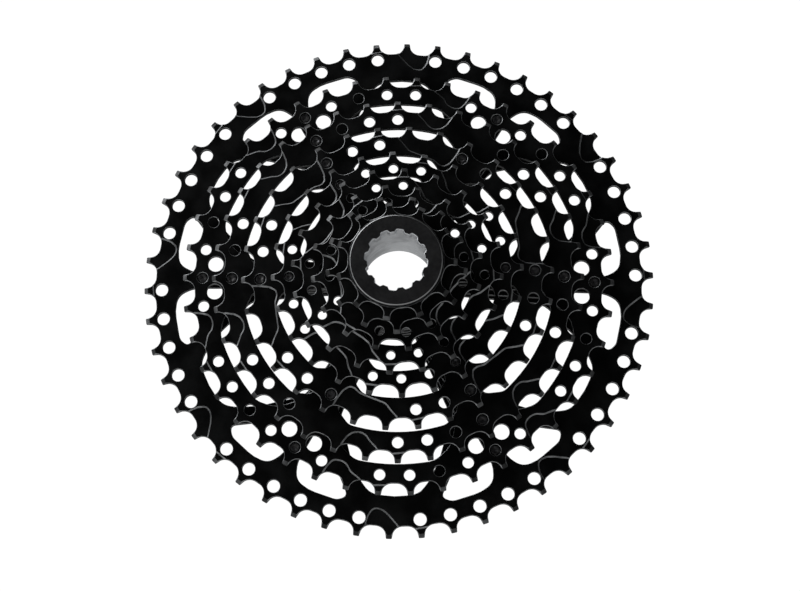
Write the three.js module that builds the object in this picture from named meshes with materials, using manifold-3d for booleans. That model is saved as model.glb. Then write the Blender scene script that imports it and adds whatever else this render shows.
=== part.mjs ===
// A nine-speed bicycle cassette, 11 to 50 teeth, on its splined freehub sleeve.
//
// Sizes are in millimetres. The cassette turns about the Y axis: the small sprockets and the lockring
// face -Y, the wheel is on the +Y side, and +Z is up. The origin is on the axis, in the inboard face of
// the largest sprocket. Every piece is first drawn lying flat: its outline in X and Y, its thickness
// along +Z from the wheel outwards. The assembly group then turns that stack to face -Y. Angles are in
// degrees, clockwise from the top as seen from the lockring side.
import * as THREE from 'three';
import { mergeVertices } from 'three/addons/utils/BufferGeometryUtils.js';
import Module from 'manifold-3d';

const wasm = await Module();
wasm.setup();

// Chain and sprocket plates.
const CHAIN_PITCH = 12.7;
const PLATE_THICKNESS = 1.8;
const PLATE_SPACING = 4.35;
const SPACER_GAP = PLATE_SPACING - PLATE_THICKNESS;
const ROOT_DROP = 3.9; // pitch circle down to the bottom of a tooth gap
const TIP_RISE = 0.9; // pitch circle up to the tooth tips
const GAP_TOP_HALF = 5.5; // half the width of a tooth gap at the tips
const GAP_FLANK_HALF = 4.6; // half its width where the flank turns into the floor
const GAP_FLANK_RISE = 2.25; // how far above the root radius that is
const GAP_FLOOR_HALF = 2.4; // half the width of the flat floor
const GAP_FLOOR_RISE = 0.3; // the floor's ends above the root radius

// Splined bore, hub ring and arms, shared by every plate.
const SPLINE_COUNT = 9;
const SPLINE_MAJOR_RADIUS = 17.4;
const SPLINE_DEPTH = 0.9;
const SPLINE_HALF_ANGLE = 7;
const INDEX_SPLINE_HALF_ANGLE = 4.5;
const SPLINE_CLEARANCE = 0.25;
const HUB_RING_RADIUS = SPLINE_MAJOR_RADIUS + 5.1;
const ARM_HALF_WIDTH = 5;

// Spacers, and the hubs that take their place behind the two smallest sprockets.
const SPACER_INNER_RADIUS = SPLINE_MAJOR_RADIUS + SPLINE_CLEARANCE;
const SPACER_OUTER_RADIUS = SPLINE_MAJOR_RADIUS + 3.6;
const HUB_RADIUS_13T = SPLINE_MAJOR_RADIUS + 3.1;
const HUB_RADIUS_11T = SPLINE_MAJOR_RADIUS + 1.1;

// Freehub sleeve.
const SLEEVE_BORE_RADIUS = SPLINE_MAJOR_RADIUS - 2.9;
const SLEEVE_FLANGE_RADIUS = SPLINE_MAJOR_RADIUS + 2.1;
const SLEEVE_FLANGE_LENGTH = 4.1;
const SLEEVE_SETBACK = 2.5; // the sleeve ends this far inside the outer face of the last sprocket
const THREAD_BORE_RADIUS = SPLINE_MAJOR_RADIUS - 2;
const THREAD_DEPTH = 10;

// Lockring and washer.
const THREAD_CLEARANCE = 0.4;
const WASHER_THICKNESS = 0.4;
const WASHER_RADIUS = SPLINE_MAJOR_RADIUS + 1;
const LOCKRING_RADIUS = SPLINE_MAJOR_RADIUS + 0.35;
const LOCKRING_THICKNESS = 1.4;
const LOCKRING_CHAMFER = 0.5;
const LOCKRING_SKIRT_LENGTH = 8.2;
const TOOL_NOTCHES = 12;
const TOOL_NOTCH_RADIUS = THREAD_BORE_RADIUS - 3.4;
const TOOL_LAND_RADIUS = THREAD_BORE_RADIUS - 4.5;
const TOOL_NOTCH_LENGTH = 4.5;
const TOOL_NOTCH_PHASE = 7;
const SKIRT_BORE_RADIUS = THREAD_BORE_RADIUS - 2.5;

// Rivets.
const RIVET_CLEARANCE = 0.25;
const RIVET_REAR_SHANK_RADIUS = 1.4;
const RIVET_HEAD_RADIUS = 2.6;
const RIVET_HEAD_THICKNESS = 0.8;
const RIVET_SHOULDER_RADIUS = 3;
const RIVET_END_RECESS = 0.15;
const RIVET_ARM_TOLERANCE = 1.5; // a hole this many degrees or less from an arm's middle takes a rivet

const HOLE_SIDES = 8;
const ROUND_SIDES = 24;
const CUT_THROUGH = 1; // how far a cutting solid runs past the face that it cuts

// The plates from the wheel outwards. A window outline is half of it: [degrees from its middle, radius].
// Every tooth has a round hole below it, except the teeth that ramps(n) picks.
const PLATES = [
  {
    teeth: 50, phase: 2.06, holeDrop: 6.21, holeDiameter: 5.06, arms: 6, armAngle: 31,
    ramps: (n) => [0, 7, 13, 19, 25, 32, 38, 44].includes(n),
    window: [[0, 85.9], [5, 84.6], [8.5, 81.7], [13.5, 73.4], [22, 59]],
    besideArm: [
      [8, 90], [15, 90], [17.8, 88], [12.5, 77.8], [7.5, 69], [4, 66], [2.6, 68], [2.4, 82.7], [5, 88],
    ],
  },
  {
    teeth: 42, phase: -3.31, holeDrop: 6.95, holeDiameter: 4.4, arms: 6, armAngle: 31,
    ramps: (n) => n % 7 === 2,
    window: [[0, 73.7], [11.5, 73.7], [18, 70], [23.4, 60]],
    besideArmHole: { offset: 4.45, radius: 73.2, diameter: 6.2 },
  },
  {
    teeth: 36, phase: 0, holeDrop: 7.06, holeDiameter: 4.5, arms: 6, armAngle: 30,
    ramps: (n) => [1, 2, 3, 7, 8, 12, 13, 14].includes(n % 18),
    window: [[0, 61.75], [18, 61.75], [24.5, 57.4]],
  },
  {
    teeth: 30, phase: 4.42, holeDrop: 6.66, holeDiameter: 4.4, arms: 6, armAngle: 28.42,
    ramps: (n) => n % 5 < 2,
    window: [[0, 49.1], [16.5, 49.1], [23, 45.8]],
  },
  {
    teeth: 24, phase: -2.13, holeDrop: 6.31, holeDiameter: 3.75, arms: 6, armAngle: 27.87,
    ramps: (n) => n % 6 === 2 || n % 6 === 3,
    window: [[0, 39.4], [14, 39.4], [21, 36]],
  },
  {
    teeth: 20, phase: 4.04, holeDrop: 6.51, holeDiameter: 3.5, arms: 5, armAngle: 4.04,
    ramps: (n) => n % 5 === 1 || n % 5 === 2,
    window: [[0, 30.3], [17, 30.3], [25, 27.6]],
  },
  { teeth: 16, phase: -8, holeDrop: 6.3, holeDiameter: 3.5, ramps: (n) => n % 4 === 2 },
  { teeth: 13, phase: 13.5, hubRadius: HUB_RADIUS_13T },
  { teeth: 11, phase: -7, hubRadius: HUB_RADIUS_11T },
];
const RIVETED_PLATES = 5;

const pitchRadius = (teeth) => CHAIN_PITCH / (2 * Math.sin(Math.PI / teeth));
const plateStart = (index) => PLATE_SPACING * index;
const stackLength = plateStart(PLATES.length - 1) + PLATE_THICKNESS;

// A point at a clockwise angle from the top.
function polar(degrees, radius) {
  const angle = THREE.MathUtils.degToRad(degrees);
  return new THREE.Vector2(radius * Math.sin(angle), radius * Math.cos(angle));
}

function circle(centre, radius, sides) {
  const points = [];
  for (let side = 0; side < sides; side += 1) {
    points.push(polar((360 * side) / sides, radius).add(centre));
  }
  return points;
}

// The toothed outline: across each tooth gap, three points down and three points up, with a flat floor.
function toothedOutline(teeth, phase) {
  const rootRadius = pitchRadius(teeth) - ROOT_DROP;
  const tipRise = ROOT_DROP + TIP_RISE;
  const side = [[GAP_TOP_HALF, tipRise], [GAP_FLANK_HALF, GAP_FLANK_RISE], [GAP_FLOOR_HALF, GAP_FLOOR_RISE]];
  const points = [];
  for (let gap = 0; gap < teeth; gap += 1) {
    const middle = phase + (360 * (gap + 0.5)) / teeth;
    const place = (across, rise) => {
      const radius = rootRadius + rise;
      return polar(middle + THREE.MathUtils.radToDeg(across / radius), radius);
    };
    side.forEach(([half, rise]) => points.push(place(-half, rise)));
    side.toReversed().forEach(([half, rise]) => points.push(place(half, rise)));
  }
  return points;
}

// The splined outline of a bore, or of the sleeve when the clearance is above zero.
function splineOutline(clearance) {
  const outer = SPLINE_MAJOR_RADIUS - clearance;
  const inner = outer - SPLINE_DEPTH;
  const sideways = THREE.MathUtils.radToDeg(clearance / outer);
  const points = [];
  for (let spline = 0; spline < SPLINE_COUNT; spline += 1) {
    const middle = (360 * spline) / SPLINE_COUNT;
    const half = (spline === 0 ? INDEX_SPLINE_HALF_ANGLE : SPLINE_HALF_ANGLE) + sideways;
    points.push(polar(middle - half, outer), polar(middle - half, inner));
    points.push(polar(middle + half, inner), polar(middle + half, outer));
    points.push(polar(middle + 180 / SPLINE_COUNT, outer));
  }
  return points;
}

// One window: the stated half outline, then along the arm's straight edge to the hub ring, mirrored.
function windowOutline(plate, middle) {
  const between = 180 / plate.arms;
  const armEdge = (radius) => between - THREE.MathUtils.radToDeg(Math.asin(ARM_HALF_WIDTH / radius));
  const top = plate.window[0];
  const side = [...plate.window.slice(1), [armEdge(HUB_RING_RADIUS), HUB_RING_RADIUS]];
  const half = side.map(([degrees, radius]) => [Math.min(degrees, armEdge(radius)), radius]);
  const points = half.toReversed().map(([degrees, radius]) => polar(middle - degrees, radius));
  points.push(polar(middle + top[0], top[1]));
  half.forEach(([degrees, radius]) => points.push(polar(middle + degrees, radius)));
  points.push(polar(middle, HUB_RING_RADIUS));
  return points;
}

function holeAngles(plate) {
  const angles = [];
  for (let n = 0; n < plate.teeth; n += 1) {
    if (!plate.ramps(n)) {
      angles.push(plate.phase + (360 * n) / plate.teeth);
    }
  }
  return angles;
}

const holeRadius = (plate) => pitchRadius(plate.teeth) - plate.holeDrop;

// The rivets that hold a plate to the one behind it sit in its own holes, one on each arm that has one.
function rivetAngles(plate) {
  const onArm = (angle) => {
    const turn = 360 / plate.arms;
    const off = THREE.MathUtils.euclideanModulo(angle - plate.armAngle + turn / 2, turn) - turn / 2;
    return Math.abs(off) < RIVET_ARM_TOLERANCE;
  };
  return holeAngles(plate).filter(onArm);
}

// ExtrudeGeometry only sets its holes' direction right when the outline runs anticlockwise.
function extrude(points, holes, start, length) {
  const shape = new THREE.Shape(THREE.ShapeUtils.isClockWise(points) ? points.toReversed() : points);
  shape.holes = holes.map((hole) => new THREE.Path(hole));
  const geometry = new THREE.ExtrudeGeometry(shape, { depth: length, bevelEnabled: false });
  return geometry.translate(0, 0, start);
}

// A solid of revolution about the stack's axis. The profile lists [radius, height] and closes on itself.
function revolve(profile, sides) {
  const points = profile.map(([radius, height]) => new THREE.Vector2(radius, height));
  return new THREE.LatheGeometry(points, sides).rotateX(Math.PI / 2);
}

// A straight round tube. With no inner radius it is a plain cylinder.
function tube(innerRadius, outerRadius, start, length) {
  const holes = innerRadius > 0 ? [circle(new THREE.Vector2(), innerRadius, ROUND_SIDES)] : [];
  return extrude(circle(new THREE.Vector2(), outerRadius, ROUND_SIDES), holes, start, length);
}

function toSolid(geometry) {
  const bare = geometry.clone();
  bare.deleteAttribute('normal');
  bare.deleteAttribute('uv');
  const merged = mergeVertices(bare);
  return new wasm.Manifold(new wasm.Mesh({
    numProp: 3,
    vertProperties: new Float32Array(merged.attributes.position.array),
    triVerts: new Uint32Array(merged.index.array),
  }));
}

function toGeometry(solid) {
  const mesh = solid.getMesh();
  const geometry = new THREE.BufferGeometry();
  geometry.setAttribute('position', new THREE.BufferAttribute(mesh.vertProperties, 3));
  geometry.setIndex(new THREE.BufferAttribute(mesh.triVerts, 1));
  geometry.computeVertexNormals();
  return geometry;
}

// Holes that a plate needs for the rivets of the plate in front of it.
function rivetHoles(front) {
  const radius = RIVET_REAR_SHANK_RADIUS + RIVET_CLEARANCE;
  return rivetAngles(front).map((angle) => circle(polar(angle, holeRadius(front)), radius, HOLE_SIDES));
}

// The round holes and curved windows beside each arm of the two largest plates.
function besideArms(plate, armMiddle) {
  const outlines = [];
  for (const side of [-1, 1]) {
    if (plate.besideArm) {
      outlines.push(plate.besideArm.map(([offset, radius]) => polar(armMiddle + side * offset, radius)));
    }
    if (plate.besideArmHole) {
      const { offset, radius, diameter } = plate.besideArmHole;
      outlines.push(circle(polar(armMiddle + side * offset, radius), diameter / 2, 2 * HOLE_SIDES));
    }
  }
  return outlines;
}

function sprocketGeometry(plate, index) {
  const holes = [splineOutline(0)];
  if (plate.holeDiameter) {
    for (const angle of holeAngles(plate)) {
      holes.push(circle(polar(angle, holeRadius(plate)), plate.holeDiameter / 2, HOLE_SIDES));
    }
  }
  for (let arm = 0; arm < (plate.arms ?? 0); arm += 1) {
    const armMiddle = plate.armAngle + (360 * arm) / plate.arms;
    holes.push(windowOutline(plate, armMiddle + 180 / plate.arms), ...besideArms(plate, armMiddle));
  }
  if (index + 1 < RIVETED_PLATES) {
    holes.push(...rivetHoles(PLATES[index + 1]));
  }
  const start = plateStart(index);
  const disc = extrude(toothedOutline(plate.teeth, plate.phase), holes, start, PLATE_THICKNESS);
  if (!plate.hubRadius) {
    return disc;
  }
  const hubOutline = circle(new THREE.Vector2(), plate.hubRadius, ROUND_SIDES);
  const hub = extrude(hubOutline, [splineOutline(0)], start - SPACER_GAP, SPACER_GAP + PLATE_THICKNESS / 2);
  return toGeometry(toSolid(disc).add(toSolid(hub)));
}

function spacerGeometry(index) {
  const start = plateStart(index) + PLATE_THICKNESS;
  return tube(SPACER_INNER_RADIUS, SPACER_OUTER_RADIUS, start, SPACER_GAP);
}

// A shouldered rivet: head behind the rear plate, shoulder between the plates, end inside the front hole.
function rivetGeometry(frontIndex) {
  const rearFace = plateStart(frontIndex - 1);
  const shoulderStart = rearFace + PLATE_THICKNESS;
  const shoulderEnd = plateStart(frontIndex);
  const end = shoulderEnd + PLATE_THICKNESS - RIVET_END_RECESS;
  const endRadius = (PLATES[frontIndex].holeDiameter / 2 - RIVET_CLEARANCE) * Math.cos(Math.PI / HOLE_SIDES);
  const profile = [
    [0, rearFace - RIVET_HEAD_THICKNESS],
    [RIVET_HEAD_RADIUS, rearFace - RIVET_HEAD_THICKNESS],
    [RIVET_HEAD_RADIUS, rearFace],
    [RIVET_REAR_SHANK_RADIUS, rearFace],
    [RIVET_REAR_SHANK_RADIUS, shoulderStart],
    [RIVET_SHOULDER_RADIUS, shoulderStart],
    [RIVET_SHOULDER_RADIUS, shoulderEnd],
    [endRadius, shoulderEnd],
    [endRadius, end],
    [0, end],
  ];
  return revolve(profile, HOLE_SIDES);
}

function sleeveGeometry() {
  const length = stackLength - SLEEVE_SETBACK;
  const bore = circle(new THREE.Vector2(), SLEEVE_BORE_RADIUS, ROUND_SIDES);
  const wholeLength = length + SLEEVE_FLANGE_LENGTH;
  const start = -SLEEVE_FLANGE_LENGTH;
  const splined = toSolid(extrude(splineOutline(SPLINE_CLEARANCE), [bore], start, wholeLength));
  const flange = toSolid(tube(SLEEVE_BORE_RADIUS, SLEEVE_FLANGE_RADIUS, start, SLEEVE_FLANGE_LENGTH));
  const thread = toSolid(tube(0, THREAD_BORE_RADIUS, length - THREAD_DEPTH, THREAD_DEPTH + CUT_THROUGH));
  return toGeometry(splined.add(flange).subtract(thread));
}

function washerGeometry() {
  return tube(THREAD_BORE_RADIUS, WASHER_RADIUS, stackLength, WASHER_THICKNESS);
}

// The tool socket: notches and lands in turn, four points to each.
function toolOutline() {
  const step = 360 / TOOL_NOTCHES;
  const notchHalf = step / 5;
  const landStart = step / 3;
  const landEnd = step - landStart;
  const points = [];
  for (let notch = 0; notch < TOOL_NOTCHES; notch += 1) {
    const middle = TOOL_NOTCH_PHASE + notch * step;
    points.push(polar(middle - notchHalf, TOOL_NOTCH_RADIUS), polar(middle + notchHalf, TOOL_NOTCH_RADIUS));
    points.push(polar(middle + landStart, TOOL_LAND_RADIUS), polar(middle + landEnd, TOOL_LAND_RADIUS));
  }
  return points;
}

function lockringGeometry() {
  const seat = stackLength + WASHER_THICKNESS;
  const face = seat + LOCKRING_THICKNESS;
  const skirtEnd = seat - LOCKRING_SKIRT_LENGTH;
  const skirtRadius = THREAD_BORE_RADIUS - THREAD_CLEARANCE;
  const body = toSolid(revolve([
    [0, skirtEnd],
    [skirtRadius, skirtEnd],
    [skirtRadius, seat],
    [LOCKRING_RADIUS, seat],
    [LOCKRING_RADIUS, face - LOCKRING_CHAMFER],
    [LOCKRING_RADIUS - LOCKRING_CHAMFER, face],
    [0, face],
  ], ROUND_SIDES));
  const socketStart = face - TOOL_NOTCH_LENGTH;
  const socketLength = TOOL_NOTCH_LENGTH + 2 * CUT_THROUGH;
  const socket = toSolid(extrude(toolOutline(), [], socketStart - CUT_THROUGH, socketLength));
  const rearLength = socketStart - skirtEnd;
  const rearBore = toSolid(tube(0, SKIRT_BORE_RADIUS, skirtEnd - CUT_THROUGH, rearLength + CUT_THROUGH));
  return toGeometry(body.subtract(socket).subtract(rearBore));
}

const BLACK_STEEL = { color: 0x151618, roughness: 0.45, metalness: 0.6 };
const BLACK_ALLOY = { color: 0x1c1d20, roughness: 0.35, metalness: 0.7 };
const BARE_ALLOY = { color: 0xb4b8bc, roughness: 0.35, metalness: 0.9 };
const DARK_PLASTIC = { color: 0x18181a, roughness: 0.7, metalness: 0 };
const RIVET_STEEL = { color: 0x3c3f44, roughness: 0.4, metalness: 0.8 };

const stack = new THREE.Group();
stack.rotation.x = Math.PI / 2;

function addPiece(name, geometry, finish) {
  const mesh = new THREE.Mesh(geometry, new THREE.MeshStandardMaterial(finish));
  mesh.name = name;
  stack.add(mesh);
  return mesh;
}

PLATES.forEach((plate, index) => {
  addPiece(`sprocket_${plate.teeth}t`, sprocketGeometry(plate, index), BLACK_STEEL);
});

for (let index = 0; index + 1 < PLATES.length && !PLATES[index + 1].hubRadius; index += 1) {
  const name = `spacer_${PLATES[index].teeth}t_${PLATES[index + 1].teeth}t`;
  addPiece(name, spacerGeometry(index), index + 1 < RIVETED_PLATES ? BLACK_ALLOY : DARK_PLASTIC);
}

for (let index = 1; index < RIVETED_PLATES; index += 1) {
  const plate = PLATES[index];
  rivetAngles(plate).forEach((angle, number) => {
    const rivet = addPiece(`rivet_${plate.teeth}t_${number + 1}`, rivetGeometry(index), RIVET_STEEL);
    const centre = polar(angle, holeRadius(plate));
    rivet.position.set(centre.x, centre.y, 0);
  });
}

addPiece('freehub_sleeve', sleeveGeometry(), BARE_ALLOY);
addPiece('lockring_washer', washerGeometry(), BARE_ALLOY);
addPiece('lockring', lockringGeometry(), BLACK_ALLOY);

const cassette = new THREE.Group();
cassette.add(stack);

export default cassette;
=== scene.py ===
"""Looks of a nine-speed bicycle cassette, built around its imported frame.

Shapes are drawn in millimetres in the stack's own axes: x to the right, y up and z along the bore, from the
wheel outwards. place() turns them into the frame's metres, where the stack faces -Y. Angles are degrees
clockwise from the top, as seen from the lockring.
"""
import math

import bmesh
import bpy
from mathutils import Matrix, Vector, noise
from mathutils.geometry import tessellate_polygon


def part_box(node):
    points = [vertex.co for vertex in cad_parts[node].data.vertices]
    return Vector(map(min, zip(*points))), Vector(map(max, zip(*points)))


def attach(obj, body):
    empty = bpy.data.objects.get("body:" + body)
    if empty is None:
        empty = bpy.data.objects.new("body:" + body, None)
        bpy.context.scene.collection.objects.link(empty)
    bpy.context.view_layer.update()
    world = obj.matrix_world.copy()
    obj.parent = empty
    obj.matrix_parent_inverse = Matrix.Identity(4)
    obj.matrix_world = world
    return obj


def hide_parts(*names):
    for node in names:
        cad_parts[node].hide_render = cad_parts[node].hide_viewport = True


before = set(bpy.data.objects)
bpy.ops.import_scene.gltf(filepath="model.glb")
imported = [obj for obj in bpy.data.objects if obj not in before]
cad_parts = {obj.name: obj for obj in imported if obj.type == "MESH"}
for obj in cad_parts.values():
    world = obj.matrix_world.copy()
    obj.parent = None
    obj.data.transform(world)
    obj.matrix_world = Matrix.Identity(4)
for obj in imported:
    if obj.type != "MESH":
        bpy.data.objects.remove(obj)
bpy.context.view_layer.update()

MM = 0.001

# Chain and plates.
CHAIN_PITCH = 12.7
PLATE_THICKNESS = 1.8
ROOT_DROP = 3.9
TIP_RISE = 0.9
GAP_FLOOR_HALF = 0.85
GAP_ARC_RADIUS = 4.25
GAP_ARC_RISE = 2.6  # where the arc of a tooth gap runs into the straight flank
GAP_ARC_STEPS = 7
GAP_TOP_HALF = 5.35
TIP_CORNER = 0.2
TIP_CHAMFER_REACH = 1.5
TIP_CHAMFER_DEPTH = 0.7
EDGE_BEVEL = 0.2
HOLE_SIDES = 24
SPACER_RADIUS = 21

# Splined bore, hub ring and arms.
SPLINE_COUNT = 9
SPLINE_MAJOR_RADIUS = 17.4
SPLINE_DEPTH = 0.9
SPLINE_HALF_ANGLE = 7
INDEX_SPLINE_HALF_ANGLE = 4.5
SPLINE_CLEARANCE = 0.25
HUB_RING_RADIUS = 22.5
HUB_RING_CORNER = 2.5
ARM_HALF_WIDTH = 5

# Shift ramps.
RAMP_DEPTH = 0.6
RAMP_SLOPE = 0.55
RAMP_CORNER = 4
RAMP_OVERSHOOT = 4  # how far a ramp's cutter runs past the tooth tips
RAMP_END_CORNER = 0.1
RAMP_SKIN = 0.25  # how much deeper than the lowered plate's chamfers a ramp's cutter starts
# The tooth before each ramp is thinned from just above its foot.
THINNED_SHARE = 0.32
THINNED_LOW = 0.5
THINNED_HIGH = 1.2
THINNED_CORNER = 1

# Rivets.
RIVET_CLEARANCE = 0.25
RIVET_SHANK_RADIUS = 1.4
RIVET_HEAD_RADIUS = 2.6
RIVET_HEAD_THICKNESS = 0.8
RIVET_SHOULDER_RADIUS = 3
RIVET_END_RECESS = 0.3
RIVET_BEVEL = 0.25
RIVET_ROUGHNESS = 0.22
RIVET_LUMPS = 0.9  # peening marks to a millimetre
PEEN_START = 0.1  # how far past the shoulder they begin
RIVET_SIDES = 32
RIVET_ARM_TOLERANCE = 1.5  # a hole this many degrees or less from an arm's middle takes a rivet
# The dished end of a rivet: share of its radius, and bevels above its front edge.
RIVET_DISH = [(0.7, 0.2), (0.45, -0.4), (0.2, -1), (0, -1)]

# Sleeve, lockring and washer.
SLEEVE_BORE_RADIUS = 14.5
THREAD_BORE_RADIUS = 15.4
THREAD_LENGTH = 10
THREAD_PITCH = 1
THREAD_HEIGHT = 0.3
THREAD_RUNOUT = 0.6
# One thread ridge: the share of the pitch, and whether the point is on the crest.
THREAD_PROFILE = [(0.15, False), (0.45, True), (0.55, True), (0.85, False)]
SKIRT_RADIUS = 15
SKIRT_THREAD_END = 1  # how far below the flange the lockring's thread ends
SKIRT_NECK = 0.8  # length of the skirt's plain neck
SKIRT_BORE_RADIUS = 12.9
LOCKRING_FLANGE = 1.4
LOCKRING_CHAMFER = 0.35
TOOL_NOTCHES = 12
TOOL_NOTCH_RADIUS = 12
TOOL_LAND_RADIUS = 10.9
TOOL_NOTCH_DEPTH = 4.5
TOOL_NOTCH_PHASE = 7
TOOL_CORNER = 0.5
TOOL_ARC = 12  # corner radius of the slight bend in the middle of a notch or a land
TOOL_EDGE = 0.25
SOCKET_RELIEF = 0.4
SOCKET_OVERRUN = 0.01  # how far the rear bore runs past the socket's floor
SOCKET_OVERLAP = 0.5  # how far inside the lands the rear bore's chamfer ends
SMALL_BEVEL = 0.15
CUT_THROUGH = 1  # how far a cutting solid runs past the face that it cuts

ARC_STEP = math.radians(9)
CORNER_REACH = 0.495  # the share of an edge that a rounded corner may take
MITRE_LIMIT = 0.4  # keeps an inward step short at a sharp corner
MERGE_DISTANCE = 1e-7
SHORTEST_EDGE = 1e-8
REVOLVE_SIDES = 96
SHARP_ANGLE = 35
PLATE_SHARP_ANGLE = 18
TIP_WEAR = 0.24
WASHER_BEVEL = 0.1
FACE_TOLERANCE = 0.05  # how far inside its front face the lockring's socket begins to be bare

# The plates from the wheel outwards. Windows, side windows and ramps are lists of (degrees, radius, corner
# radius). A window is half an outline from its middle. A side window starts from its arm's middle.
PLATES = {
    50: {
        "phase": 2.06, "hole_drop": 6.21, "hole_diameter": 5.06, "arms": 6, "arm_angle": 31,
        "ramps": [2.06 + 7.2 * n for n in (0, 7, 13, 19, 25, 32, 38, 44)],
        "ramp": [(-2.4, 97.4), (0, 92.9), (1.5, 90.9), (3, 90.2), (4.3, 90.7), (5.3, 93.4), (5.6, 96.3)],
        "no_hole": (0, 7, 13, 19, 25, 32, 38, 44),
        "window": [(0, 85.9, 60), (6.5, 85, 8), (9.6, 80.5, 12), (13.5, 73.4, 20), (16, 68, 30), (22, 59, 9)],
        "side_window": [(8, 90, 30), (15.6, 90, 5), (17.9, 87.6, 3), (12.8, 78, 25), (7.5, 69.5, 8),
                        (4, 65.8, 1.5), (2.6, 67.5, 1.5), (2.3, 82.7, 14), (4.3, 88.4, 6)],
    },
    42: {
        "phase": -3.31, "hole_drop": 6.95, "hole_diameter": 4.4, "arms": 6, "arm_angle": 31,
        "ramps": [13.83 + 60 * n for n in range(6)],
        "ramp": [(-4.3, 81.2), (-0.3, 78.3), (1.2, 75.9), (3.2, 75.1), (5.7, 75.7), (6.7, 78.8), (7.2, 81.5)],
        "no_hole": range(2, 42, 7),
        "window": [(0, 73.7, 73), (6, 73.7, 73), (12, 73.7, 8), (18, 70, 12), (23.4, 60, 8)],
        "side_hole": {"offset": 4.45, "radius": 73.2, "diameter": 6.2},
    },
    36: {
        "phase": 0, "hole_drop": 7.06, "hole_diameter": 4.5, "arms": 6, "arm_angle": 30,
        "ramps": [60 * n for n in range(6)],
        "ramp": [(6, 68.96), (9.5, 65.6), (11, 63.7), (13.5, 63.0), (16, 64.0), (17.5, 66.1), (18.5, 69.5)],
        "no_hole": [n for n in range(36) if n % 18 in (1, 2, 3, 7, 8, 12, 13, 14)],
        "window": [(0, 61.75, 61), (6, 61.75, 61), (12, 61.75, 61), (18, 61.75, 5), (24.5, 57.4, 4)],
    },
    30: {
        "phase": 4.42, "hole_drop": 6.66, "hole_diameter": 4.4, "arms": 6, "arm_angle": 28.42,
        "ramps": [60 * n for n in range(6)],
        "ramp": [(-0.5, 56.85), (2, 54.3), (5, 51.1), (10, 50), (17, 49.1), (20.5, 47.7), (23, 48),
                 (25, 50.6), (25.8, 54.5), (26, 57)],
        "no_hole": [n for n in range(30) if n % 5 < 2],
        "window": [(0, 49.1, 49), (6, 49.1, 49), (12, 49.1, 49), (17.5, 49.1, 4), (23, 45.8, 4)],
    },
    24: {
        "phase": -2.13, "hole_drop": 6.31, "hole_diameter": 3.75, "arms": 6, "arm_angle": 27.87,
        "ramps": [90 * n for n in range(4)],
        "ramp": [(22, 45), (26.5, 41.8), (30, 38.9), (34, 38.1), (45, 37.4), (51, 37.9), (53.5, 39.9),
                 (54, 45)],
        "no_hole": [n for n in range(24) if n % 6 in (2, 3)],
        "window": [(0, 39.4, 39), (7, 39.4, 39), (14.5, 39.4, 4), (21, 36, 4)],
    },
    20: {
        "phase": 4.04, "hole_drop": 6.51, "hole_diameter": 3.5, "arms": 5, "arm_angle": 4.04,
        "ramps": [90 * n for n in range(4)],
        "ramp": [(9, 37), (16, 33.5), (20, 30.8), (26, 29.8), (35, 29.6), (45, 29.8), (50, 31.6), (52, 37)],
        "no_hole": [n for n in range(20) if n % 5 in (1, 2)],
        "window": [(0, 30.3, 30), (8, 30.3, 30), (17, 30.3, 3), (25, 27.6, 3)],
    },
    16: {
        "phase": -8, "hole_drop": 6.3, "hole_diameter": 3.5,
        "ramps": [93, 228, 340.5],
        "ramp": [(0, 28.65), (12, 24.3), (19, 22.9), (32, 22.6), (45, 22.9), (51, 25), (52, 28.65)],
        "no_hole": range(2, 16, 4),
    },
    13: {"phase": 13.5, "hub": 20.5},
    11: {"phase": -7, "hub": 18.5},
}
RIVETED = (42, 36, 30, 24)


def place(x, y, z):
    return Vector((x * MM, -z * MM, y * MM))


def span(node):
    """Where a CAD node starts and ends along the stack, in millimetres."""
    low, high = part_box(node)
    return -high.y / MM, -low.y / MM


def pitch_radius(teeth):
    return CHAIN_PITCH / (2 * math.sin(math.pi / teeth))


def polar(degrees, radius):
    angle = math.radians(degrees)
    return Vector((radius * math.sin(angle), radius * math.cos(angle)))


def circle(centre, radius, sides=HOLE_SIDES):
    return [centre + polar(360 * side / sides, radius) for side in range(sides)]


def rounded(corners):
    """The outline through (point, corner radius) pairs, each corner turned on a curve of about its radius."""
    points = []
    for index, (corner, radius) in enumerate(corners):
        before = corners[index - 1][0] - corner
        after = corners[(index + 1) % len(corners)][0] - corner
        turn = math.pi - before.angle(after)
        longest = CORNER_REACH * min(before.length, after.length)
        reach = min(radius * math.tan(turn / 2), longest)
        start = corner + before.normalized() * reach
        end = corner + after.normalized() * reach
        steps = max(2, round(turn / ARC_STEP))
        for step in range(steps + 1):
            t = step / steps
            points.append(start * (1 - t) ** 2 + corner * (2 * t * (1 - t)) + end * t ** 2)
    return points


def toothed_outline(teeth, phase):
    root = pitch_radius(teeth) - ROOT_DROP
    top = ROOT_DROP + TIP_RISE
    sweep = math.acos(1 - GAP_ARC_RISE / GAP_ARC_RADIUS)
    side = []
    for step in range(GAP_ARC_STEPS + 1):
        turn = sweep * step / GAP_ARC_STEPS
        side.append((GAP_FLOOR_HALF + GAP_ARC_RADIUS * math.sin(turn), GAP_ARC_RADIUS * (1 - math.cos(turn))))
    side.append((GAP_TOP_HALF - TIP_CORNER / 2, top - TIP_CORNER))
    side.append((GAP_TOP_HALF + TIP_CORNER / 4, top - TIP_CORNER / 4))
    side.append((GAP_TOP_HALF + TIP_CORNER, top))
    points = []
    for gap in range(teeth):
        middle = phase + 360 * (gap + 0.5) / teeth
        for sign, profile in ((-1, reversed(side)), (1, side)):
            for across, rise in profile:
                radius = root + rise
                points.append(polar(middle + sign * math.degrees(across / radius), radius))
    return points


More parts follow.
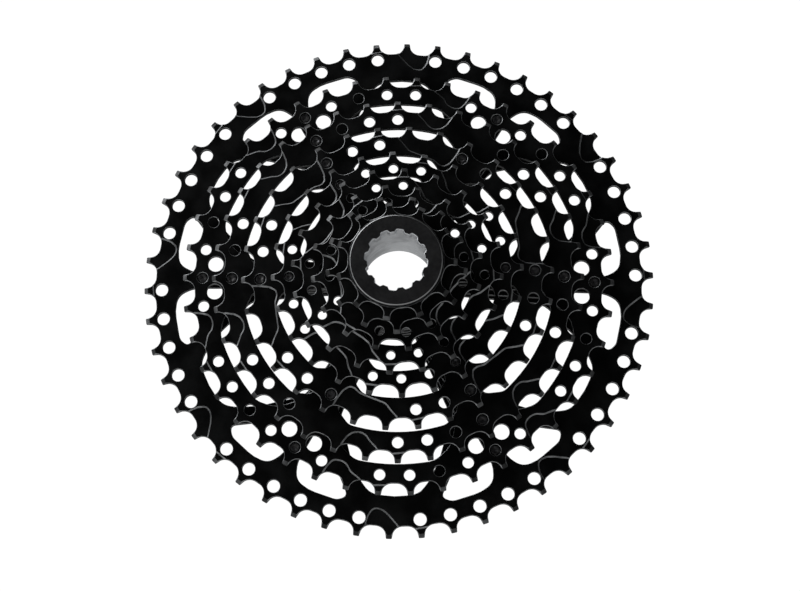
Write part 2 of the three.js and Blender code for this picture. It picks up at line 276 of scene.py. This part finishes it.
def spline_outline(clearance):
    outer = SPLINE_MAJOR_RADIUS - clearance
    inner = outer - SPLINE_DEPTH
    sideways = math.degrees(clearance / outer)

    def half_angle(spline):
        return (SPLINE_HALF_ANGLE if spline else INDEX_SPLINE_HALF_ANGLE) + sideways

    points = []
    for spline in range(SPLINE_COUNT):
        middle = 360 * spline / SPLINE_COUNT
        half = half_angle(spline)
        valley_end = 360 / SPLINE_COUNT - half_angle((spline + 1) % SPLINE_COUNT)
        points += [polar(middle - half, outer), polar(middle - half, inner)]
        points += [polar(middle, inner)]
        points += [polar(middle + half, inner), polar(middle + half, outer)]
        for share in (0.25, 0.5, 0.75):
            points.append(polar(middle + half + share * (valley_end - half), outer))
    return points


def window_outline(plate, middle):
    """A window between two arms: its stated outline, then down the arms' straight edges to the hub ring."""
    between = 180 / plate["arms"]

    def arm_edge(radius):
        return between - math.degrees(math.asin(ARM_HALF_WIDTH / radius))

    half = [(min(degrees, arm_edge(radius)), radius, corner) for degrees, radius, corner in plate["window"]]
    foot = arm_edge(HUB_RING_RADIUS)
    half += [(foot, HUB_RING_RADIUS, HUB_RING_CORNER), (foot / 2, HUB_RING_RADIUS, HUB_RING_RADIUS)]
    left = [(polar(middle - degrees, radius), corner) for degrees, radius, corner in half[1:]]
    right = [(polar(middle + degrees, radius), corner) for degrees, radius, corner in half]
    return rounded(right + left[::-1])


def hole_angles(teeth):
    plate = PLATES[teeth]
    return [plate["phase"] + 360 * n / teeth for n in range(teeth) if n not in plate["no_hole"]]


def hole_radius(teeth):
    return pitch_radius(teeth) - PLATES[teeth]["hole_drop"]


def rivet_centres(teeth):
    plate = PLATES[teeth]
    turn = 360 / plate["arms"]
    centres = []
    for angle in hole_angles(teeth):
        off_arm = (angle - plate["arm_angle"] + turn / 2) % turn - turn / 2
        if abs(off_arm) < RIVET_ARM_TOLERANCE:
            centres.append(polar(angle, hole_radius(teeth)))
    return centres


def plate_holes(teeth):
    plate = PLATES[teeth]
    holes = [spline_outline(0)]
    if "hole_diameter" in plate:
        centres = [polar(angle, hole_radius(teeth)) for angle in hole_angles(teeth)]
        holes += [circle(centre, plate["hole_diameter"] / 2) for centre in centres]
    for arm in range(plate.get("arms", 0)):
        middle = plate["arm_angle"] + 360 * arm / plate["arms"]
        holes.append(window_outline(plate, middle + 180 / plate["arms"]))
        for side in (-1, 1):
            if "side_window" in plate:
                corners = plate["side_window"]
                holes.append(rounded([(polar(middle + side * degrees, radius), corner)
                                      for degrees, radius, corner in corners]))
            if "side_hole" in plate:
                side_hole = plate["side_hole"]
                centre = polar(middle + side * side_hole["offset"], side_hole["radius"])
                holes.append(circle(centre, side_hole["diameter"] / 2))
    order = list(PLATES)
    in_front = order[order.index(teeth) + 1] if teeth != order[-1] else None
    if in_front in RIVETED:
        radius = RIVET_SHANK_RADIUS + RIVET_CLEARANCE
        holes += [circle(centre, radius) for centre in rivet_centres(in_front)]
    return holes


def area(points):
    return sum(p.x * q.y - q.x * p.y for p, q in zip(points[-1:] + points[:-1], points)) / 2


def oriented(points, anticlockwise=True):
    return points if (area(points) > 0) == anticlockwise else points[::-1]


def inward_normals(points):
    """For each point of a loop, the step that moves both its edges one unit into the solid on their left."""
    normals = []
    for index, point in enumerate(points):
        before = (point - points[index - 1]).normalized()
        after = (points[(index + 1) % len(points)] - point).normalized()
        left_before = Vector((-before.y, before.x))
        left_after = Vector((-after.y, after.x))
        normals.append((left_before + left_after) / max(1 + left_before.dot(left_after), MITRE_LIMIT))
    return normals


def mesh_object(name, vertices, faces, sharp=SHARP_ANGLE):
    mesh = bpy.data.meshes.new(name)
    mesh.from_pydata([place(*vertex) for vertex in vertices], [], faces)
    editor = bmesh.new()
    editor.from_mesh(mesh)
    bmesh.ops.remove_doubles(editor, verts=editor.verts, dist=MERGE_DISTANCE)
    bmesh.ops.dissolve_degenerate(editor, edges=editor.edges, dist=SHORTEST_EDGE)
    bmesh.ops.recalc_face_normals(editor, faces=editor.faces)
    editor.to_mesh(mesh)
    editor.free()
    obj = bpy.data.objects.new(name, mesh)
    bpy.context.scene.collection.objects.link(obj)
    shade(obj, sharp)
    return obj


def shade(obj, sharp=SHARP_ANGLE):
    obj.data.shade_smooth()
    obj.data.set_sharp_from_angle(angle=math.radians(sharp))


def stacked(name, outer, holes, levels, sharp=SHARP_ANGLE):
    """A closed solid from an outline and its holes. Each level turns (point, inward step) into x, y, z."""
    loops = [oriented(outer)] + [oriented(hole, False) for hole in holes]
    vertices, faces, rings = [], [], [[] for _ in levels]
    for loop in loops:
        steps = inward_normals(loop)
        first = len(vertices)
        for level in levels:
            vertices += [level(point, step) for point, step in zip(loop, steps)]
        count = len(loop)
        for index in range(len(levels)):
            rings[index].append(range(first + index * count, first + (index + 1) * count))
        for index in range(len(levels) - 1):
            low, high = first + index * count, first + (index + 1) * count
            for i in range(count):
                j = (i + 1) % count
                faces.append((low + i, low + j, high + j, high + i))
    for ring_set in (rings[0], rings[-1]):
        flat = [index for ring in ring_set for index in ring]
        outlines = [[Vector((vertices[i][0], vertices[i][1], 0)) for i in ring] for ring in ring_set]
        faces += [tuple(flat[i] for i in triangle) for triangle in tessellate_polygon(outlines)]
    return mesh_object(name, vertices, faces, sharp)


def flat_level(z, inset=0):
    def level(point, step):
        moved = point + step * inset
        return moved.x, moved.y, z
    return level


def bevelled_levels(start, end, bevel):
    walls = [flat_level(start + bevel), flat_level(end - bevel)]
    return [flat_level(start, bevel), *walls, flat_level(end, bevel)]


def toothed_levels(teeth, start, end):
    """Bevelled edges, and on the front a chamfer across each tooth tip."""
    chamfer_start = pitch_radius(teeth) + TIP_RISE - TIP_CHAMFER_REACH

    def front_rim(point, step):
        share = max(0, (point.length - chamfer_start) / TIP_CHAMFER_REACH)
        return point.x, point.y, end - EDGE_BEVEL - share * (TIP_CHAMFER_DEPTH - EDGE_BEVEL)

    def front_face(point, step):
        moved = point + step * EDGE_BEVEL
        moved *= min(1, chamfer_start / moved.length)
        return moved.x, moved.y, end

    return [flat_level(start, EDGE_BEVEL), flat_level(start + EDGE_BEVEL), front_rim, front_face]


def combine(obj, other, operation, sharp=SHARP_ANGLE):
    """Cuts other out of obj, or joins it on."""
    modifier = obj.modifiers.new("combine", "BOOLEAN")
    modifier.operation = operation
    modifier.solver = "MANIFOLD"
    modifier.object = other
    evaluated = obj.evaluated_get(bpy.context.evaluated_depsgraph_get())
    result = bpy.data.meshes.new_from_object(evaluated)
    obj.modifiers.clear()
    spent = obj.data
    obj.data = result
    result.name = obj.name
    bpy.data.meshes.remove(spent)
    bpy.data.meshes.remove(other.data)
    shade(obj, sharp)
    return obj


def tooth_before(teeth, degrees):
    """The angle of the last tooth before the one that follows an angle."""
    step = 360 / teeth
    phase = PLATES[teeth]["phase"]
    return phase + step * (math.ceil((degrees - phase) / step) - 1)


def ramp_pockets(teeth, front):
    """What the shift ramps of one plate leave empty: pockets with sloping walls, open at the tooth tips."""
    plate = PLATES[teeth]
    outside = pitch_radius(teeth) + TIP_RISE + RAMP_OVERSHOOT
    line = plate["ramp"]
    floor = front - RAMP_DEPTH
    levels = [flat_level(floor - TIP_CHAMFER_DEPTH - RAMP_SKIN, RAMP_SLOPE), flat_level(floor, RAMP_SLOPE),
              flat_level(front + RAMP_DEPTH, -RAMP_SLOPE)]
    pockets = None
    for angle in plate["ramps"]:
        tooth = tooth_before(teeth, angle + line[0][0])
        width = THINNED_SHARE * 360 / teeth
        foot = pitch_radius(teeth) - ROOT_DROP
        thinned = [(tooth - width, foot + THINNED_LOW), (tooth + width, foot + THINNED_HIGH)]
        ramp = [(angle + degrees, radius) for degrees, radius in line]
        for route, corner_radius in ((ramp, RAMP_CORNER), (thinned, THINNED_CORNER)):
            corners = [(polar(degrees, radius), corner_radius) for degrees, radius in route]
            corners += [(polar(route[end][0], outside), RAMP_END_CORNER) for end in (-1, 0)]
            pocket = stacked("ramp_pocket", rounded(corners), [], levels)
            pockets = combine(pockets, pocket, "UNION") if pockets else pocket
    lowered = stacked("lowered_plate", toothed_outline(teeth, plate["phase"]), plate_holes(teeth),
                      toothed_levels(teeth, front - PLATE_THICKNESS, floor))
    return combine(pockets, lowered, "DIFFERENCE")


def sprocket(teeth):
    plate = PLATES[teeth]
    node = f"sprocket_{teeth}t"
    end = span(node)[1]
    start = end - PLATE_THICKNESS
    levels = toothed_levels(teeth, start, end)
    outline = toothed_outline(teeth, plate["phase"])
    obj = stacked(node + "_plate", outline, plate_holes(teeth), levels, PLATE_SHARP_ANGLE)
    if "ramp" in plate:
        combine(obj, ramp_pockets(teeth, end), "DIFFERENCE", PLATE_SHARP_ANGLE)
    if "hub" in plate:
        hub_levels = [flat_level(span(node)[0], SMALL_BEVEL), flat_level(span(node)[0] + SMALL_BEVEL),
                      flat_level(start + PLATE_THICKNESS / 2)]
        rim = circle(Vector((0, 0)), plate["hub"], REVOLVE_SIDES)
        combine(obj, stacked("hub", rim, [spline_outline(0)], hub_levels), "UNION", PLATE_SHARP_ANGLE)
    return obj


def revolved(name, profile, sides=REVOLVE_SIDES, centre=(0, 0), sharp=SHARP_ANGLE):
    """A closed solid of revolution from a closed (radius, z) profile."""
    vertices = []
    for side in range(sides):
        for radius, z in profile:
            point = polar(360 * side / sides, radius)
            vertices.append((point.x + centre[0], point.y + centre[1], z))
    count = len(profile)
    faces = []
    for side in range(sides):
        low, high = side * count, (side + 1) % sides * count
        for i in range(count):
            j = (i + 1) % count
            faces.append((low + i, low + j, high + j, high + i))
    return mesh_object(name, vertices, faces, sharp)


def bevelled_tube(name, inner, outer, start, end, bevel):
    profile = [
        (inner, start + bevel), (inner + bevel, start), (outer - bevel, start), (outer, start + bevel),
        (outer, end - bevel), (outer - bevel, end), (inner + bevel, end), (inner, end - bevel),
    ]
    return revolved(name, profile)


def rivet(node, teeth, number, centre):
    start, end = span(node)
    rear = start + RIVET_HEAD_THICKNESS
    front = end - RIVET_END_RECESS
    shoulder_start = rear + PLATE_THICKNESS
    shoulder_end = span(f"sprocket_{teeth}t")[0]
    radius = PLATES[teeth]["hole_diameter"] / 2 - RIVET_CLEARANCE
    profile = [
        (0, start), (RIVET_HEAD_RADIUS - RIVET_BEVEL, start), (RIVET_HEAD_RADIUS, start + RIVET_BEVEL),
        (RIVET_HEAD_RADIUS, rear), (RIVET_SHANK_RADIUS, rear), (RIVET_SHANK_RADIUS, shoulder_start),
        (RIVET_SHOULDER_RADIUS, shoulder_start), (RIVET_SHOULDER_RADIUS, shoulder_end),
        (radius, shoulder_end), (radius, front - RIVET_BEVEL), (radius - RIVET_BEVEL, front),
    ]
    profile += [(share * radius, front + rise * RIVET_BEVEL) for share, rise in RIVET_DISH]
    obj = revolved(node + "_peened", profile, RIVET_SIDES, centre)
    seed = Vector((teeth, number, 0))
    for vertex in obj.data.vertices:
        if -vertex.co.y / MM > shoulder_end + PEEN_START:
            lump = noise.noise(vertex.co / MM * RIVET_LUMPS + seed)
            vertex.co.y += RIVET_ROUGHNESS * lump * MM
    return obj


def ridges(start, end, low, high):
    """Thread ridges along a straight stretch, as (radius, z) points."""
    count = int(abs(end - start) / THREAD_PITCH)
    step = (end - start) / count
    points = []
    for ridge in range(count):
        z = start + ridge * step
        points += [(high if crest else low, z + share * step) for share, crest in THREAD_PROFILE]
    return points


def sleeve():
    start, end = span("freehub_sleeve")
    seat = span("sprocket_50t")[0]
    flange_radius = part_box("freehub_sleeve")[1].x / MM
    obj = stacked("freehub_sleeve_splined", spline_outline(SPLINE_CLEARANCE), [],
                  bevelled_levels(seat - CUT_THROUGH, end, SMALL_BEVEL))
    flange = [(0, start), (flange_radius - SMALL_BEVEL, start), (flange_radius, start + SMALL_BEVEL),
              (flange_radius, seat - SMALL_BEVEL), (flange_radius - SMALL_BEVEL, seat), (0, seat)]
    combine(obj, revolved("flange", flange), "UNION")
    thread_start = end - THREAD_LENGTH
    bore = [(0, start - CUT_THROUGH), (SLEEVE_BORE_RADIUS + TOOL_EDGE, start - CUT_THROUGH),
            (SLEEVE_BORE_RADIUS + TOOL_EDGE, start), (SLEEVE_BORE_RADIUS, start + TOOL_EDGE),
            (SLEEVE_BORE_RADIUS, thread_start), (THREAD_BORE_RADIUS, thread_start + THREAD_RUNOUT)]
    bore += ridges(thread_start + THREAD_RUNOUT, end - THREAD_RUNOUT, THREAD_BORE_RADIUS,
                   THREAD_BORE_RADIUS + THREAD_HEIGHT)
    bore += [(THREAD_BORE_RADIUS + THREAD_HEIGHT, end + CUT_THROUGH), (0, end + CUT_THROUGH)]
    return combine(obj, revolved("bore", bore), "DIFFERENCE")


def tool_outline():
    step = 360 / TOOL_NOTCHES
    corners = []
    for notch in range(TOOL_NOTCHES):
        middle = TOOL_NOTCH_PHASE + notch * step
        for share, corner in ((-1 / 5, TOOL_CORNER), (0, TOOL_ARC), (1 / 5, TOOL_CORNER)):
            corners.append((polar(middle + share * step, TOOL_NOTCH_RADIUS), corner))
        for share, corner in ((1 / 3, TOOL_CORNER), (1 / 2, TOOL_ARC), (2 / 3, TOOL_CORNER)):
            corners.append((polar(middle + share * step, TOOL_LAND_RADIUS), corner))
    return rounded(corners)


def lockring():
    start, face = span("lockring")
    seat = face - LOCKRING_FLANGE
    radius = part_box("lockring")[1].x / MM
    body = [(0, start), (SKIRT_RADIUS - TOOL_EDGE, start)]
    body += ridges(start + TOOL_EDGE, seat - SKIRT_THREAD_END, SKIRT_RADIUS, SKIRT_RADIUS + THREAD_HEIGHT)
    body += [(SKIRT_RADIUS, seat - SKIRT_NECK), (SKIRT_RADIUS, seat), (radius - SMALL_BEVEL, seat),
             (radius, seat + SMALL_BEVEL), (radius, face - LOCKRING_CHAMFER),
             (radius - LOCKRING_CHAMFER, face), (0, face)]
    obj = revolved("lockring_ring", body)
    socket = face - TOOL_NOTCH_DEPTH
    levels = [flat_level(socket), flat_level(face - TOOL_EDGE), flat_level(face, -TOOL_EDGE),
              flat_level(face + CUT_THROUGH, -TOOL_EDGE)]
    combine(obj, stacked("socket", tool_outline(), [], levels), "DIFFERENCE")
    bore = [(0, start - CUT_THROUGH), (SKIRT_BORE_RADIUS, start - CUT_THROUGH),
            (SKIRT_BORE_RADIUS, socket - SOCKET_RELIEF), (SKIRT_BORE_RADIUS - SOCKET_RELIEF, socket),
            (TOOL_LAND_RADIUS - SOCKET_OVERLAP, socket + SOCKET_OVERRUN), (0, socket + SOCKET_OVERRUN)]
    return combine(obj, revolved("bore", bore), "DIFFERENCE")


class Shader:
    """A node material with one Principled shader."""

    def __init__(self, name):
        self.material = bpy.data.materials.new(name)
        self.material.use_nodes = True
        self.nodes = self.material.node_tree.nodes
        self.links = self.material.node_tree.links
        self.surface = self.nodes["Principled BSDF"]

    def node(self, kind, inputs=None, **settings):
        node = self.nodes.new(kind)
        for name, value in settings.items():
            setattr(node, name, value)
        for name, value in (inputs or {}).items():
            if isinstance(value, bpy.types.NodeSocket):
                self.links.new(value, node.inputs[name])
            else:
                node.inputs[name].default_value = value
        return node

    def maths(self, operation, *values):
        return self.node("ShaderNodeMath", dict(enumerate(values)), operation=operation).outputs[0]

    def ranged(self, value, low, high, to_low=0, to_high=1):
        inputs = {"Value": value, "From Min": low, "From Max": high, "To Min": to_low, "To Max": to_high}
        return self.node("ShaderNodeMapRange", inputs, interpolation_type="SMOOTHSTEP").outputs["Result"]

    def position(self):
        return self.node("ShaderNodeTexCoord").outputs["Object"]

    def grain(self, scale, detail=3, stretch=(1, 1, 1)):
        mapping = self.node("ShaderNodeMapping", {"Vector": self.position(), "Scale": stretch})
        inputs = {"Vector": mapping.outputs["Vector"], "Scale": scale, "Detail": detail}
        return self.node("ShaderNodeTexNoise", inputs).outputs["Fac"]

    def blend(self, factor, first, second):
        inputs = {0: factor, 6: (*first, 1) if isinstance(first, tuple) else first}
        inputs[7] = (*second, 1) if isinstance(second, tuple) else second
        return self.node("ShaderNodeMix", inputs, data_type="RGBA").outputs[2]

    def facet(self):
        """1 on bevels and ramp walls, less on tip chamfers, 0 on flat faces and walls along the bore."""
        normal = self.node("ShaderNodeNewGeometry").outputs["Normal"]
        tilt = self.maths("ABSOLUTE", self.node("ShaderNodeSeparateXYZ", {"Vector": normal}).outputs["Y"])
        tip_wear = self.ranged(self.grain(75, 1), 0.38, 0.68, 0.4 * TIP_WEAR, 1.9 * TIP_WEAR)
        bevels = self.ranged(tilt, 0.25, 0.4)
        steep = self.maths("MULTIPLY", bevels, self.ranged(tilt, 0.8, 0.88, 1, tip_wear))
        return self.maths("MULTIPLY", steep, self.ranged(tilt, 0.95, 0.99, 1, 0))

    def bump(self, height, strength, distance):
        inputs = {"Height": height, "Strength": strength, "Distance": distance}
        self.links.new(self.node("ShaderNodeBump", inputs).outputs["Normal"], self.surface.inputs["Normal"])

    def feed(self, **inputs):
        for name, value in inputs.items():
            socket = self.surface.inputs[name.replace("_", " ")]
            if isinstance(value, bpy.types.NodeSocket):
                self.links.new(value, socket)
            else:
                socket.default_value = value
        return self.material


def coated_steel():
    """Satin black coating, rubbed down to grey metal along its bevels."""
    shader = Shader("black_coated_steel")
    patches = shader.grain(90, 4)
    coat = shader.blend(shader.ranged(patches, 0.35, 0.7), (0.001, 0.0011, 0.0012), (0.0045, 0.0048, 0.005))
    wear = shader.maths("MULTIPLY", shader.facet(), shader.ranged(shader.grain(380, 2), 0.25, 0.6, 0.45, 1))
    shader.bump(shader.grain(2600, 2), 0.12, 0.0002)
    return shader.feed(
        Base_Color=shader.blend(wear, coat, (0.32, 0.33, 0.34)),
        Metallic=wear,
        Roughness=shader.ranged(patches, 0.3, 0.75, 0.36, 0.5),
        Specular_IOR_Level=0.12,
    )


def black_alloy():
    """Anodised black, lighter along its machined edges."""
    shader = Shader("black_anodised_alloy")
    lathe = shader.grain(900, 2, (1, 12, 1))
    wear = shader.maths("MULTIPLY", shader.facet(), 0.7)
    shader.bump(lathe, 0.08, 0.0001)
    return shader.feed(
        Base_Color=shader.blend(wear, (0.013, 0.013, 0.014), (0.3, 0.3, 0.31)),
        Metallic=wear,
        Roughness=shader.ranged(lathe, 0.3, 0.7, 0.32, 0.45),
    )


def spacer_plastic():
    shader = Shader("black_spacer_plastic")
    grain = shader.grain(1800, 3)
    shader.bump(grain, 0.2, 0.0002)
    return shader.feed(
        Base_Color=shader.blend(grain, (0.008, 0.008, 0.009), (0.016, 0.016, 0.017)),
        Roughness=shader.ranged(grain, 0.3, 0.7, 0.5, 0.7),
    )


def rivet_steel():
    """Blackened steel with the coating knocked off where it was peened."""
    shader = Shader("peened_rivet_steel")
    scuffs = shader.ranged(shader.grain(700, 4), 0.48, 0.62)
    shader.bump(shader.grain(1500, 3), 0.35, 0.0003)
    return shader.feed(
        Base_Color=shader.blend(scuffs, (0.006, 0.006, 0.007), (0.07, 0.07, 0.075)),
        Metallic=scuffs,
        Roughness=shader.ranged(scuffs, 0, 1, 0.45, 0.3),
    )


def bare_alloy_nodes(shader):
    """Colour and roughness of turned alloy: fine rings round the bore and a few broader bands."""
    rings = shader.grain(240, 3, (0.6, 14, 0.6))
    cloud = shader.grain(120, 3)
    colour = shader.blend(shader.ranged(rings, 0.3, 0.7), (0.6, 0.62, 0.65), (0.86, 0.88, 0.9))
    return shader.blend(shader.ranged(cloud, 0.45, 0.7, 0, 0.6), colour, (0.4, 0.41, 0.43)), rings


def bare_alloy():
    shader = Shader("bare_turned_alloy")
    colour, rings = bare_alloy_nodes(shader)
    shader.bump(rings, 0.15, 0.0002)
    return shader.feed(Base_Color=colour, Metallic=1.0, Roughness=shader.ranged(rings, 0.3, 0.7, 0.38, 0.5))


def washer_steel():
    shader = Shader("dark_washer_steel")
    grain = shader.grain(600, 3)
    wear = shader.ranged(grain, 0.4, 0.7, 0.3, 0.8)
    shader.bump(grain, 0.1, 0.0001)
    return shader.feed(
        Base_Color=shader.blend(wear, (0.02, 0.02, 0.022), (0.16, 0.165, 0.17)),
        Metallic=0.9,
        Roughness=shader.ranged(grain, 0.3, 0.7, 0.3, 0.42),
    )


def lockring_finish():
    """Anodised black outside. The tool socket and bore were machined afterwards and are bare."""
    shader = Shader("lockring_alloy")
    x, y, z = shader.node("ShaderNodeSeparateXYZ", {"Vector": shader.position()}).outputs
    squares = [shader.maths("POWER", value, 2) for value in (x, z)]
    radius = shader.maths("SQRT", shader.maths("ADD", *squares))
    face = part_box("lockring")[0].y
    edge = (SKIRT_BORE_RADIUS + SKIRT_RADIUS) / 2 * MM
    inside = shader.maths("LESS_THAN", radius, edge)
    below_face = shader.maths("GREATER_THAN", y, face + FACE_TOLERANCE * MM)
    bare = shader.maths("MULTIPLY", inside, below_face)
    alloy, rings = bare_alloy_nodes(shader)
    turning = shader.grain(60, 2, (14, 1, 14))
    black = shader.blend(shader.ranged(turning, 0.3, 0.7), (0.009, 0.009, 0.01), (0.017, 0.017, 0.018))
    wear = shader.maths("MULTIPLY", shader.facet(), 0.8)
    outside = shader.blend(wear, black, (0.42, 0.43, 0.44))
    shader.bump(rings, 0.08, 0.0001)
    return shader.feed(
        Base_Color=shader.blend(bare, outside, alloy),
        Metallic=shader.maths("MAXIMUM", bare, wear),
        Roughness=shader.ranged(rings, 0.3, 0.7, 0.34, 0.46),
    )


def put(obj, material, body, slot, *nodes):
    """Gives a finished piece its material and the body that it rides on, and hides the CAD nodes that it
    stands for.
    """
    obj.data.materials.clear()
    obj.data.materials.append(material)
    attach(obj, body)
    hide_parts(*nodes)


def build_cassette():
    steel = coated_steel()
    alloy = black_alloy()
    plastic = spacer_plastic()
    rivets = rivet_steel()
    order = list(PLATES)
    for teeth in order:
        node = f"sprocket_{teeth}t"
        body = "cluster" if teeth >= RIVETED[-1] else node
        put(sprocket(teeth), steel, body, "black_steel", node)
    for rear, front in zip(order[:6], order[1:7]):
        node = f"spacer_{rear}t_{front}t"
        bore = SPLINE_MAJOR_RADIUS + SPLINE_CLEARANCE
        obj = bevelled_tube(node + "_ring", bore, SPACER_RADIUS, *span(node), SMALL_BEVEL)
        riveted = front in RIVETED
        finish, slot = (alloy, "black_alloy") if riveted else (plastic, "spacer_plastic")
        put(obj, finish, "cluster" if riveted else node, slot, node)
    for teeth in RIVETED:
        for number, centre in enumerate(rivet_centres(teeth), 1):
            node = f"rivet_{teeth}t_{number}"
            put(rivet(node, teeth, number, centre), rivets, "cluster", "rivet_steel", node)
    put(sleeve(), bare_alloy(), "sleeve", "bare_alloy", "freehub_sleeve")
    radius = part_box("lockring_washer")[1].x / MM
    washer_span = span("lockring_washer")
    washer = bevelled_tube("lockring_washer_ring", THREAD_BORE_RADIUS, radius, *washer_span, WASHER_BEVEL)
    put(washer, washer_steel(), "washer", "washer_steel", "lockring_washer")
    put(lockring(), lockring_finish(), "lockring", "black_lockring", "lockring")


# Studio, in metres.
CAMERA_TARGET = Vector((0, -PLATE_THICKNESS / 2 * MM, 0))
CAMERA_AZIMUTH = 1.25
CAMERA_ELEVATION = -13.73
CAMERA_DISTANCE = 0.7154
CAMERA_LENS = 80.33
CAMERA_SHIFT = (0.0022, -0.0156)
FLOOR_HEIGHT = -0.21
FLOOR_RADIUS = 1.1


def camera():
    azimuth, elevation = math.radians(CAMERA_AZIMUTH), math.radians(CAMERA_ELEVATION)
    away = Vector((math.sin(azimuth) * math.cos(elevation), -math.cos(azimuth) * math.cos(elevation),
                   math.sin(elevation)))
    data = bpy.data.cameras.new("camera")
    data.lens = CAMERA_LENS
    data.shift_x, data.shift_y = CAMERA_SHIFT
    data.clip_start = 0.01
    obj = bpy.data.objects.new("camera", data)
    obj.location = CAMERA_TARGET + away * CAMERA_DISTANCE
    obj.rotation_euler = away.to_track_quat("Z", "Y").to_euler()
    bpy.context.scene.collection.objects.link(obj)
    bpy.context.scene.camera = obj


def soft_light(name, location, size, watts, target=(0, 0, 0)):
    data = bpy.data.lights.new(name, "AREA")
    data.shape = "RECTANGLE"
    data.size, data.size_y = size
    data.energy = watts
    obj = bpy.data.objects.new(name, data)
    obj.location = location
    obj.rotation_euler = (Vector(location) - Vector(target)).to_track_quat("Z", "Y").to_euler()
    obj.visible_camera = False
    bpy.context.scene.collection.objects.link(obj)


def floor():
    mesh = bpy.data.meshes.new("floor")
    rim = circle(Vector((0, 0)), FLOOR_RADIUS, REVOLVE_SIDES)
    mesh.from_pydata([(x, y, FLOOR_HEIGHT) for x, y in oriented(rim)], [], [range(REVOLVE_SIDES)])
    obj = bpy.data.objects.new("floor", mesh)
    bpy.context.scene.collection.objects.link(obj)
    shader = Shader("pale_floor")
    grain = shader.grain(3, 2)
    colour = shader.blend(grain, (0.78, 0.78, 0.77), (0.82, 0.82, 0.81))
    mesh.materials.append(shader.feed(Base_Color=colour, Roughness=0.8))


def backdrop():
    """White behind the object, and a dim room for what it reflects."""
    world = bpy.data.worlds.new("studio")
    bpy.context.scene.world = world
    world.use_nodes = True
    nodes, links = world.node_tree.nodes, world.node_tree.links
    output, room = nodes["World Output"], nodes["Background"]
    room.inputs["Color"].default_value = (1, 1, 1, 1)
    room.inputs["Strength"].default_value = 0.014
    seen = nodes.new("ShaderNodeBackground")
    seen.inputs["Color"].default_value = (1, 1, 1, 1)
    seen.inputs["Strength"].default_value = 1.05
    mix = nodes.new("ShaderNodeMixShader")
    links.new(nodes.new("ShaderNodeLightPath").outputs["Is Camera Ray"], mix.inputs["Fac"])
    links.new(room.outputs[0], mix.inputs[1])
    links.new(seen.outputs[0], mix.inputs[2])
    links.new(mix.outputs[0], output.inputs["Surface"])


build_cassette()
camera()
soft_light("overhead", (-0.55, -0.08, 1.15), (1.35, 1.1), 13)
soft_light("upper_left", (-0.75, -0.35, 0.45), (0.5, 0.5), 4.2)
soft_light("right", (0.8, -0.2, 0.1), (0.3, 0.6), 0.25)
soft_light("behind", (0, 0.9, -0.02), (1.4, 0.35), 0.45)
floor()
backdrop()
bpy.context.scene.view_settings.view_transform = "Standard"
